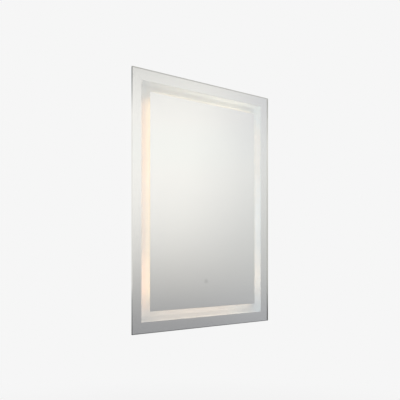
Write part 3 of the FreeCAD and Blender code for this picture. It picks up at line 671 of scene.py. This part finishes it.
def soften(thing, width, segments=2):
    """Round off an object's edges with modifiers, which leave its own mesh as it is."""
    weld = thing.modifiers.new("weld", "WELD")
    weld.merge_threshold = WELD
    flat = thing.modifiers.new("flat", "DECIMATE")
    flat.decimate_type = "DISSOLVE"
    flat.angle_limit = FLAT
    flat.delimit = {"NORMAL", "MATERIAL"}
    bevel = thing.modifiers.new("bevel", "BEVEL")
    bevel.width = width
    bevel.segments = segments
    bevel.limit_method = "ANGLE"
    bevel.angle_limit = SHARP
    thing.modifiers.new("even", "WEIGHTED_NORMAL").keep_sharp = True


def cut_from(mesh, cutters):
    """Take closed meshes out of a mesh."""
    body = bpy.data.objects.new("body", mesh)
    bpy.context.scene.collection.objects.link(body)
    tools = []
    for cutter in cutters:
        tool = bpy.data.objects.new("tool", cutter)
        bpy.context.scene.collection.objects.link(tool)
        tools.append(tool)
        step = body.modifiers.new("cut", "BOOLEAN")
        step.object = tool
        step.solver = "EXACT"
    bpy.context.view_layer.update()
    result = bpy.data.meshes.new_from_object(body.evaluated_get(bpy.context.evaluated_depsgraph_get()))
    for thing in [body, *tools]:
        bpy.data.objects.remove(thing)
    return result


# -------------------- glass

ARRIS = 0.8 * MM            # width of the ground corner round each face


def glass_pane():
    """The sheet of glass, clear through its faces and ground along its edges."""
    low, high = GLASS_LOW, GLASS_HIGH
    work = bmesh.new()
    rings = []
    for y, inset in ((low.y, ARRIS), (low.y + ARRIS, 0), (high.y - ARRIS, 0), (high.y, ARRIS)):
        corners = [(low.x + inset, low.z + inset), (high.x - inset, low.z + inset),
                   (high.x - inset, high.z - inset), (low.x + inset, high.z - inset)]
        rings.append([work.verts.new((x, y, z)) for x, z in corners])
    work.faces.new(rings[0])
    work.faces.new(reversed(rings[-1]))
    for ring, following in zip(rings, rings[1:]):
        for i in range(4):
            face = work.faces.new([ring[i], following[i], following[i - 3], ring[i - 3]])
            face.material_index = 2 if i == 1 else 1    # the right edge, or one of the others
    bmesh.ops.recalc_face_normals(work, faces=work.faces)
    mesh = bpy.data.meshes.new("glass_pane")
    work.to_mesh(mesh)
    work.free()
    pane = piece("glass_pane", mesh, "mirror", "clear_glass", ["mirror_glass"])
    mesh.materials.append(MATERIALS["ground_edge_left"])
    mesh.materials.append(MATERIALS["ground_edge_right"])
    pane.visible_shadow = False     # so that the light comes through


# -------------------- printed layers

TOUCH_RADIUS = 7 * MM
MARK_RADIUS = 2 * MM
MARK_PITCH = 21 * MM


def printed_layers():
    """The silver outside and inside the frosted band, the band, and the switch's two small windows."""
    front, back = GLASS_HIGH.y + LAYER_GAP, BAND_HIGH.y
    rim, band, centre = (rectangle(*ends) for ends in ((BORDER_LOW, BORDER_HIGH), (BAND_LOW, BAND_HIGH),
                                                       (CENTRE_LOW, CENTRE_HIGH)))
    board_low, board_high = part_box("touch_sensor_board")
    touch_z = (board_low.z + board_high.z) / 2
    touch, mark = circle(0, touch_z, TOUCH_RADIUS), circle(MARK_PITCH, touch_z, MARK_RADIUS)
    for name, loops, look, slot, node in (
            ("border_silver", [rim, band], "border_silvering", "silvering", ["silver_border"]),
            ("frost_band", [band, centre], "frost", "frosted_glass", ["frosted_band"]),
            ("centre_silver", [centre, touch, mark], "silvering", "silvering", ["silver_centre"]),
            ("touch_window", [touch], "touch_silvering", "silvering", []),
            ("indicator_window", [mark], "touch_silvering", "silvering", [])):
        sheet = flat_sheet(name, loops, front, back)
        piece(name, sheet, "mirror", look, node)
        if name in ("border_silver", "centre_silver"):
            paint_back(sheet, "backing_paint")


# -------------------- screws, rivets and rubber

def recess_outline(arms, reach, width):
    """A cross of four arms, or a slot of two, as (across, up) points."""
    half = width / 2
    if arms == 2:
        return [(-reach, -half), (reach, -half), (reach, half), (-reach, half)]
    quarter = [(half, -half), (reach, -half), (reach, half)]
    return [point for turn in range(4) for point in turned(quarter, turn)]


def turned(points, quarters):
    for _ in range(quarters):
        points = [(-up, across) for across, up in points]
    return points


def screw(work, x, z, radius, tip, top, head, shank, turn):
    """A pan-head machine screw whose head looks towards +Y, with a tapered cross recess and a thread."""
    profile = [(0.68 * radius, top), (0.84 * radius, top - 0.10 * head), (0.95 * radius, top - 0.30 * head),
               (radius, top - 0.60 * head), (radius, top - head), (shank, top - head)]
    pitch = 0.45 * shank
    y = top - head - pitch
    while y - pitch > tip + shank:
        profile += [(shank, y), (0.84 * shank, y - pitch / 2)]
        y -= pitch
    profile += [(0.84 * shank, tip + 0.5 * shank), (0, tip)]
    face = lathe(work, profile, x, z)[0]
    drive(work, face, x, z, 0.62 * head, recess_outline(4, 0.56 * radius, 0.24 * radius), turn)


RECESS_TAPER = 0.72         # the recess's size at its floor, as a share of its mouth


def drive(work, face, x, z, depth, outline, turn):
    """Fill a ring with a flat face that has a tapered recess in it."""
    floor = []
    lips = []
    for across, up in outline:
        at_x = across * math.cos(turn) - up * math.sin(turn)
        at_z = across * math.sin(turn) + up * math.cos(turn)
        lips.append(work.verts.new((x + at_x, face[0].co.y, z + at_z)))
        floor.append(work.verts.new((x + RECESS_TAPER * at_x, face[0].co.y - depth, z + RECESS_TAPER * at_z)))
    edges = []
    for loop in (face, lips):
        for first, second in zip(loop, loop[1:] + loop[:1]):
            edges.append(work.edges.get((first, second)) or work.edges.new((first, second)))
    bmesh.ops.triangle_fill(work, edges=edges, use_beauty=True)
    for i in range(len(lips)):
        work.faces.new([lips[i - 1], lips[i], floor[i], floor[i - 1]])
    work.faces.new(floor)


SCREWS = {
    # node: (head height, shank radius)
    "back_plate_screws": (1.6 * MM, 1.6 * MM),
    "driver_screws": (1.6 * MM, 1.9 * MM),
    "clamp_screws": (1.4 * MM, 1.3 * MM),
}


def screws():
    turns = random.Random(11)
    for node, (head, shank) in SCREWS.items():
        work = bmesh.new()
        for place in round_solids(node):
            screw(work, *place, head, shank, turns.uniform(0, math.pi / 2))
        stand_in(f"{node}_recessed", finished(work, node), "screw_zinc", node)


TERMINAL_SUNK = 0.8 * MM    # how far a terminal screw lies below the end of its CAD solid
SLOT_DEPTH = 0.9 * MM


def terminal_screws():
    """Slotted brass screws, sunk a little in the terminal block."""
    turns = random.Random(5)
    work = bmesh.new()
    for x, z, radius, tip, end in round_solids("terminal_screws"):
        top = end - TERMINAL_SUNK
        profile = [(0.90 * radius, top), (radius, top - 0.15 * MM), (radius, tip), (0, tip)]
        face = lathe(work, profile, x, z)[0]
        drive(work, face, x, z, SLOT_DEPTH, recess_outline(2, 0.8 * radius, 0.26 * radius),
              turns.uniform(0, math.pi))
    stand_in("terminal_screws_slotted", finished(work, "terminal_screws"), "brass", "terminal_screws")


RIVET_HEAD = 1.2 * MM
RIVET_SHANK = 2 * MM
RIVET_TAIL = 1.5 * MM


def rivets():
    """Domed blind rivets, with the broken end of the mandrel in each one."""
    work = bmesh.new()
    for x, z, radius, tip, top in round_solids("hanger_rivets"):
        under, tail = top - RIVET_HEAD, tip + RIVET_TAIL
        profile = [(0, top - 0.75 * MM), (0.20 * radius, top - 0.60 * MM), (0.27 * radius, top - 0.62 * MM),
                   (0.29 * radius, top - 0.08 * MM), (0.36 * radius, top), (0.55 * radius, top - 0.06 * MM),
                   (0.74 * radius, top - 0.22 * MM), (0.90 * radius, top - 0.52 * MM),
                   (0.99 * radius, top - 0.92 * MM), (radius, under), (RIVET_SHANK, under),
                   (RIVET_SHANK, tail), (0.78 * radius, tail), (0.80 * radius, tail - 0.7 * MM),
                   (0.55 * radius, tip + 0.2 * MM), (0.25 * radius, tip), (0, tip)]
        lathe(work, profile, x, z)
    stand_in("hanger_rivets_domed", finished(work, "hanger_rivets"), "rivet_metal", "hanger_rivets")


RUBBER_STEPS = 56
GROOVES = (0.48, 0.70)      # the bumper's grooves, as shares of its radius
GROOVE_HALF = 0.035
GROOVE_DEPTH = 0.55 * MM


def bumpers():
    """Soft rubber feet with a rounded nose and two moulded grooves."""
    work = bmesh.new()
    for x, z, radius, foot, wall in round_solids("wall_bumpers"):
        profile = [(0, wall - 0.5 * MM), (0.20 * radius, wall - 0.4 * MM), (0.28 * radius, wall)]
        for groove in GROOVES:
            profile += [((groove - GROOVE_HALF) * radius, wall), (groove * radius, wall - GROOVE_DEPTH),
                        ((groove + GROOVE_HALF) * radius, wall)]
        profile += [(0.80 * radius, wall - 0.08 * MM), (0.89 * radius, wall - 0.5 * MM),
                    (0.95 * radius, wall - 1.3 * MM), (0.975 * radius, wall - 2.4 * MM),
                    (0.985 * radius, foot + 1.2 * MM), (radius, foot + 0.9 * MM), (radius, foot), (0, foot)]
        lathe(work, profile, x, z, RUBBER_STEPS)
    stand_in("wall_bumpers_moulded", finished(work, "wall_bumpers"), "rubber", "wall_bumpers")


GROMMET_BORE = 4 * MM
GROMMET_NECK = 6 * MM
GROMMET_LIP = 1.4 * MM


def grommet():
    """A rubber bush with rounded lips round the cable's way in."""
    work = bmesh.new()
    for x, z, rim, inner, outer in round_solids("lid_grommet"):
        profile = [(GROMMET_BORE, inner + 0.4 * MM), (GROMMET_BORE + 0.4 * MM, inner),
                   (rim - 0.6 * MM, inner), (rim - 0.15 * MM, inner + 0.2 * MM),
                   (rim, inner + 0.6 * MM), (rim, inner + GROMMET_LIP),
                   (GROMMET_NECK, inner + GROMMET_LIP), (GROMMET_NECK, outer - GROMMET_LIP),
                   (rim, outer - GROMMET_LIP), (rim, outer - 1.0 * MM), (rim - 0.3 * MM, outer - 0.45 * MM),
                   (rim - 1.1 * MM, outer - 0.1 * MM), (rim - 2.0 * MM, outer),
                   (GROMMET_BORE + 0.6 * MM, outer), (GROMMET_BORE + 0.15 * MM, outer - 0.2 * MM),
                   (GROMMET_BORE, outer - 0.6 * MM)]
        lathe(work, profile + profile[:1], x, z, RUBBER_STEPS)
    stand_in("lid_grommet_moulded", finished(work, "lid_grommet"), "rubber", "lid_grommet")


# -------------------- bracket, hanger, label and terminals

SHEET = 1.5 * MM            # thickness of the bracket and the hanger
BEND_STEPS = 6


def folded_strip(path, bend, half_length, name, rounding):
    """Sheet steel folded along X and rounded at its four corners.

    Its middle line is (y, z) points with an arc of the radius bend at each fold.
    """
    middle = [Vector(path[0])]
    for before, at, after in zip(path, path[1:], path[2:]):
        before, at, after = Vector(before), Vector(at), Vector(after)
        into, away = (at - before).normalized(), (after - at).normalized()
        start, centre = at - into * bend, at - into * bend + away * bend
        for step in range(BEND_STEPS + 1):
            angle = math.pi / 2 * step / BEND_STEPS
            middle.append(centre - away * bend * math.cos(angle) + into * bend * math.sin(angle))
    middle.append(Vector(path[-1]))
    near, far = [], []
    for i, point in enumerate(middle):
        run = middle[min(i + 1, len(middle) - 1)] - middle[max(i - 1, 0)]
        side = Vector((-run.y, run.x)).normalized() * SHEET / 2
        near.append(point + side)
        far.append(point - side)
    outline = near + far[::-1]
    work = bmesh.new()
    ends = [[work.verts.new((x, y, z)) for y, z in outline] for x in (-half_length, half_length)]
    for i in range(len(outline)):
        work.faces.new([ends[0][i - 1], ends[0][i], ends[1][i], ends[1][i - 1]])
    for end in ends:
        work.faces.new(end)
    corners = []
    for edge in work.edges:
        start, end = (vert.co for vert in edge.verts)
        through = abs(start.x - end.x) + abs(start.z - end.z) < WELD
        if through and min(abs(start.z - path[0][1]), abs(start.z - path[-1][1])) < WELD:
            corners.append(edge)
    bmesh.ops.bevel(work, geom=corners, offset=rounding, segments=BEND_STEPS, profile=0.5, affect="EDGES")
    return finished(work, name)


BRACKET_HALF = 15 * MM      # from the wall screws' line to the bracket's fold
BRACKET_BEND = 1.3 * MM
BRACKET_ROUNDING = 3 * MM
HANGER_BEND = 1.6 * MM
HANGER_ROUNDING = 4 * MM
WALL_HOLE_X = 130 * MM
WALL_HOLE_RADIUS = 2.75 * MM
CUT_EDGE = 0.15 * MM        # rounding of the sheet's cut edges


def bracket_and_hanger():
    """The wall bracket's hook and the rail that drops over it."""
    low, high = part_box("wall_bracket")
    half = (high.x - low.x) / 2
    foot_y, hook_y = high.y - SHEET / 2, low.y + SHEET / 2
    step_z = BRACKET_HALF + SHEET / 2
    bracket = folded_strip([(foot_y, low.z), (foot_y, step_z), (hook_y, step_z), (hook_y, high.z)],
                           BRACKET_BEND, half, "bracket", BRACKET_ROUNDING)
    holes = []
    for x in (-WALL_HOLE_X, WALL_HOLE_X):
        work = bmesh.new()
        lathe(work, [(0, high.y + SHEET), (WALL_HOLE_RADIUS, high.y + SHEET),
                     (WALL_HOLE_RADIUS, foot_y - SHEET), (0, foot_y - SHEET)], x, 0)
        holes.append(finished(work, "hole"))
    bracket = cut_from(bracket, holes)
    bracket.materials.clear()
    soften(stand_in("wall_bracket_folded", bracket, "zinc", "wall_bracket"), CUT_EDGE)

    low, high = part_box("hanger_rail")
    plate_y, lip_y = low.y + SHEET / 2, high.y - SHEET / 2
    shelf_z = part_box("wall_bracket")[1].z + SHEET / 2
    rail = folded_strip([(plate_y, high.z), (plate_y, shelf_z), (lip_y, shelf_z), (lip_y, low.z)],
                        HANGER_BEND, (high.x - low.x) / 2, "hanger", HANGER_ROUNDING)
    soften(stand_in("hanger_rail_folded", rail, "zinc", "hanger_rail"), CUT_EDGE)


LABEL_ROUNDING = 3 * MM
LABEL_STEPS = 8
LABEL_EDGE = 0.08 * MM


def bare_label():
    """A blank foil plate with rounded corners."""
    low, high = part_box("bare_label")
    loop = []
    for x, z, start in ((high.x, low.z, -90), (high.x, high.z, 0), (low.x, high.z, 90), (low.x, low.z, 180)):
        at_x = x - math.copysign(LABEL_ROUNDING, x)
        at_z = z + (LABEL_ROUNDING if z == low.z else -LABEL_ROUNDING)
        for step in range(LABEL_STEPS + 1):
            angle = math.radians(start + 90 * step / LABEL_STEPS)
            loop.append((at_x + LABEL_ROUNDING * math.cos(angle), at_z + LABEL_ROUNDING * math.sin(angle)))
    plate = flat_sheet("bare_label", [loop], low.y, high.y)
    soften(stand_in("bare_label_plate", plate, "brushed_foil", "bare_label"), LABEL_EDGE, 1)


WELL_MOUTH = 0.9 * MM       # how much wider than its screw a well starts
WELL_SLACK = 0.1 * MM
WELL_SLOPE = 0.7 * MM
WAY_RADIUS = 1.9 * MM
WAY_DEPTH = 5 * MM
POLE_GAP_HALF = 0.6 * MM
POLE_GAP_DEPTH = 2.2 * MM
BLOCK_EDGE = 0.25 * MM


def terminal_block():
    """A two-pole block: a sunk well round each screw, wire ways below and a gap between the poles."""
    low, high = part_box("terminal_block")
    work = bmesh.new()
    block(work, low, high)
    body = finished(work, "terminal_block_body")
    cutters = []
    for x, z, radius, tip, _ in round_solids("terminal_screws"):
        mouth, bore = radius + WELL_MOUTH, radius + WELL_SLACK
        work = bmesh.new()
        lathe(work, [(0, high.y + MM), (mouth, high.y + MM), (mouth, high.y), (bore, high.y - WELL_SLOPE),
                     (bore, tip), (0, tip)], x, z, steps=32)
        cutters.append(finished(work, "well"))
    columns = sorted({round(place[0], 5) for place in round_solids("terminal_screws")})
    for x in columns:
        work = bmesh.new()
        bmesh.ops.create_cone(work, cap_ends=True, segments=28, radius1=WAY_RADIUS, radius2=WAY_RADIUS,
                              depth=WAY_DEPTH, matrix=Matrix.Translation((x, high.y - WAY_DEPTH, low.z)))
        cutters.append(finished(work, "way"))
    middle = sum(columns) / len(columns)
    work = bmesh.new()
    block(work, (middle - POLE_GAP_HALF, high.y - POLE_GAP_DEPTH, low.z - MM),
          (middle + POLE_GAP_HALF, high.y + MM, high.z + MM))
    cutters.append(finished(work, "gap"))
    mesh = cut_from(body, cutters)
    mesh.materials.clear()
    soften(stand_in("terminal_block_moulded", mesh, "block_plastic", "terminal_block"), BLOCK_EDGE)


SOFT_EDGES = {
    # width in millimetres: nodes
    0.25: ["frame_left", "frame_right", "frame_top", "frame_bottom", "back_plate"],
    0.35: ["terminal_lid", "cord_clamp", "lead_clips", "touch_sensor_case"],
    0.6: ["terminal_box", "led_driver"],
}


def soften_nodes():
    for width, nodes in SOFT_EDGES.items():
        for name in nodes:
            soften(frame["nodes"][name], width * MM)


# -------------------- room

BACKDROP = (0.9216, 0.9216, 0.9216, 1)

# The studio's light at its left and its right side, by how far up a look goes, from -1 to 1.
WARM, NEUTRAL, COOL = (1.035, 1.0, 0.985), (1.01, 1.0, 1.01), (1.0, 1.0, 1.14)
LEFT_STUDIO = (tinted([(-0.45, 0.60)], NEUTRAL) + tinted([(-0.16, 0.234)], COOL)
               + tinted([(-0.05, 0.586), (0.06, 0.914), (0.17, 1.00), (0.28, 0.96)], WARM)
               + tinted([(0.38, 0.45), (0.60, 0.65)], NEUTRAL))
RIGHT_STUDIO = (tinted([(-0.45, 0.64)], NEUTRAL) + tinted([(-0.16, 0.36)], COOL)
                + tinted([(-0.05, 0.562), (0.06, 0.667), (0.17, 0.80)], NEUTRAL)
                + tinted([(0.28, 0.513)], COOL) + tinted([(0.38, 0.60), (0.60, 0.65)], NEUTRAL))
SIDE_X = (0.58, 0.76)       # how far to the right a look goes where the left light becomes the right


def studio():
    """A bright soft studio that darkens below the horizon and towards its right side.

    The camera sees the plain backdrop. Mirrors, metal, glass and every lit surface get the studio.
    """
    world = bpy.data.worlds.new("studio")
    bpy.context.scene.world = world
    world.use_nodes = True
    nodes = Nodes(world.node_tree)
    nodes.tree.nodes.clear()
    look_way = nodes.add("ShaderNodeSeparateXYZ")
    nodes.link(nodes.add("ShaderNodeTexCoord").outputs["Generated"], look_way.inputs[0])
    mix = nodes.add("ShaderNodeMix", data_type="RGBA")
    nodes.link(nodes.between(look_way.outputs["X"], run=SIDE_X, kind="SMOOTHSTEP"), mix.inputs["Factor"])
    nodes.link(nodes.over(look_way.outputs["Z"], LEFT_STUDIO, "B_SPLINE"), mix.inputs["A"])
    nodes.link(nodes.over(look_way.outputs["Z"], RIGHT_STUDIO, "B_SPLINE"), mix.inputs["B"])
    lit = nodes.add("ShaderNodeBackground")
    nodes.link(mix.outputs["Result"], lit.inputs["Color"])
    plain = nodes.add("ShaderNodeBackground")
    plain.inputs["Color"].default_value = BACKDROP
    choose = nodes.add("ShaderNodeMixShader")
    nodes.link(nodes.add("ShaderNodeLightPath").outputs["Is Camera Ray"], choose.inputs["Fac"])
    nodes.link(lit.outputs[0], choose.inputs[1])
    nodes.link(plain.outputs[0], choose.inputs[2])
    nodes.link(choose.outputs[0], nodes.add("ShaderNodeOutputWorld").inputs["Surface"])


AIM = Vector((0, 0, -0.2))
LAMPS = [
    # name, place, size, power
    ("key", (-1.6, -2.4, 1.3), 1.6, 26),
    ("fill", (2.0, -2.2, 0.4), 1.8, 14),
    ("rear", (0.9, 2.4, 1.2), 1.6, 24),
]


def lamps():
    """Soft square lamps that light the object and don't show in the mirror."""
    for name, place, size, power in LAMPS:
        light = bpy.data.lights.new(name, "AREA")
        light.shape = "SQUARE"
        light.size = size
        light.energy = power
        lamp = bpy.data.objects.new(name, light)
        bpy.context.scene.collection.objects.link(lamp)
        lamp.location = place
        lamp.rotation_euler = (AIM - Vector(place)).to_track_quat("-Z", "Y").to_euler()
        lamp.visible_glossy = False
        lamp.visible_transmission = False


FLOOR_Z = -1.6
FLOOR_RADIUS = 5.0
MELT = (0.3 * FLOOR_RADIUS, 0.8 * FLOOR_RADIUS)    # where the floor passes into the backdrop
NEAR_SHARE = 0.55           # the backdrop's share in the floor's tone near the object


def floor():
    """A pale floor. Near the object it keeps its shadow, and its rim melts into the backdrop."""
    mesh = bpy.data.meshes.new("floor")
    work = bmesh.new()
    bmesh.ops.create_circle(work, cap_ends=True, segments=96, radius=FLOOR_RADIUS)
    work.to_mesh(mesh)
    work.free()
    ground = bpy.data.objects.new("floor", mesh)
    ground.location.z = FLOOR_Z
    bpy.context.scene.collection.objects.link(ground)
    look = Look("floor", Base_Color=BACKDROP, Roughness=0.9, Specular_IOR_Level=0.1)
    plain = look.add("ShaderNodeEmission")
    plain.inputs["Color"].default_value = BACKDROP
    distance = look.add("ShaderNodeVectorMath", operation="LENGTH")
    look.link(look.place, distance.inputs[0])
    fade = look.between(distance.outputs["Value"], NEAR_SHARE, 1, run=MELT, kind="SMOOTHSTEP")
    seen = look.add("ShaderNodeMath", operation="MULTIPLY")
    look.link(look.add("ShaderNodeLightPath").outputs["Is Camera Ray"], seen.inputs[0])
    look.link(fade, seen.inputs[1])
    mix = look.add("ShaderNodeMixShader")
    look.link(seen.outputs[0], mix.inputs["Fac"])
    look.link(look.shader.outputs[0], mix.inputs[1])
    look.link(plain.outputs[0], mix.inputs[2])
    look.link(mix.outputs[0], look.tree.nodes["Material Output"].inputs["Surface"])
    mesh.materials.append(look.material)


# Solved from the perspective of the mirror's outline, in pixels of a frame of FRAME_PIXELS.
CAMERA_PLACE = Vector((-1.019, -1.295, -0.3435))
CAMERA_TURN = math.radians(-38.6)
FRAME_PIXELS = 400
FOCAL_PIXELS = 559.7
LEVEL_LINE = 51.8           # how far below the middle of the frame the level line runs
SENSOR = 36


def camera():
    """Level, to the left of the mirror and in front of it, as in the photograph."""
    lens = bpy.data.cameras.new("camera")
    lens.sensor_width = SENSOR
    lens.lens = SENSOR * FOCAL_PIXELS / FRAME_PIXELS
    lens.shift_y = LEVEL_LINE / FRAME_PIXELS
    view = bpy.data.objects.new("camera", lens)
    bpy.context.scene.collection.objects.link(view)
    view.location = CAMERA_PLACE
    view.rotation_euler = (math.pi / 2, 0, CAMERA_TURN)
    bpy.context.scene.camera = view


# -------------------- build

camera()
studio()
lamps()
floor()
dress_nodes()
glass_pane()
printed_layers()
screws()
terminal_screws()
rivets()
bumpers()
grommet()
bracket_and_hanger()
bare_label()
terminal_block()
soften_nodes()

bpy.context.scene.view_settings.view_transform = "Standard"
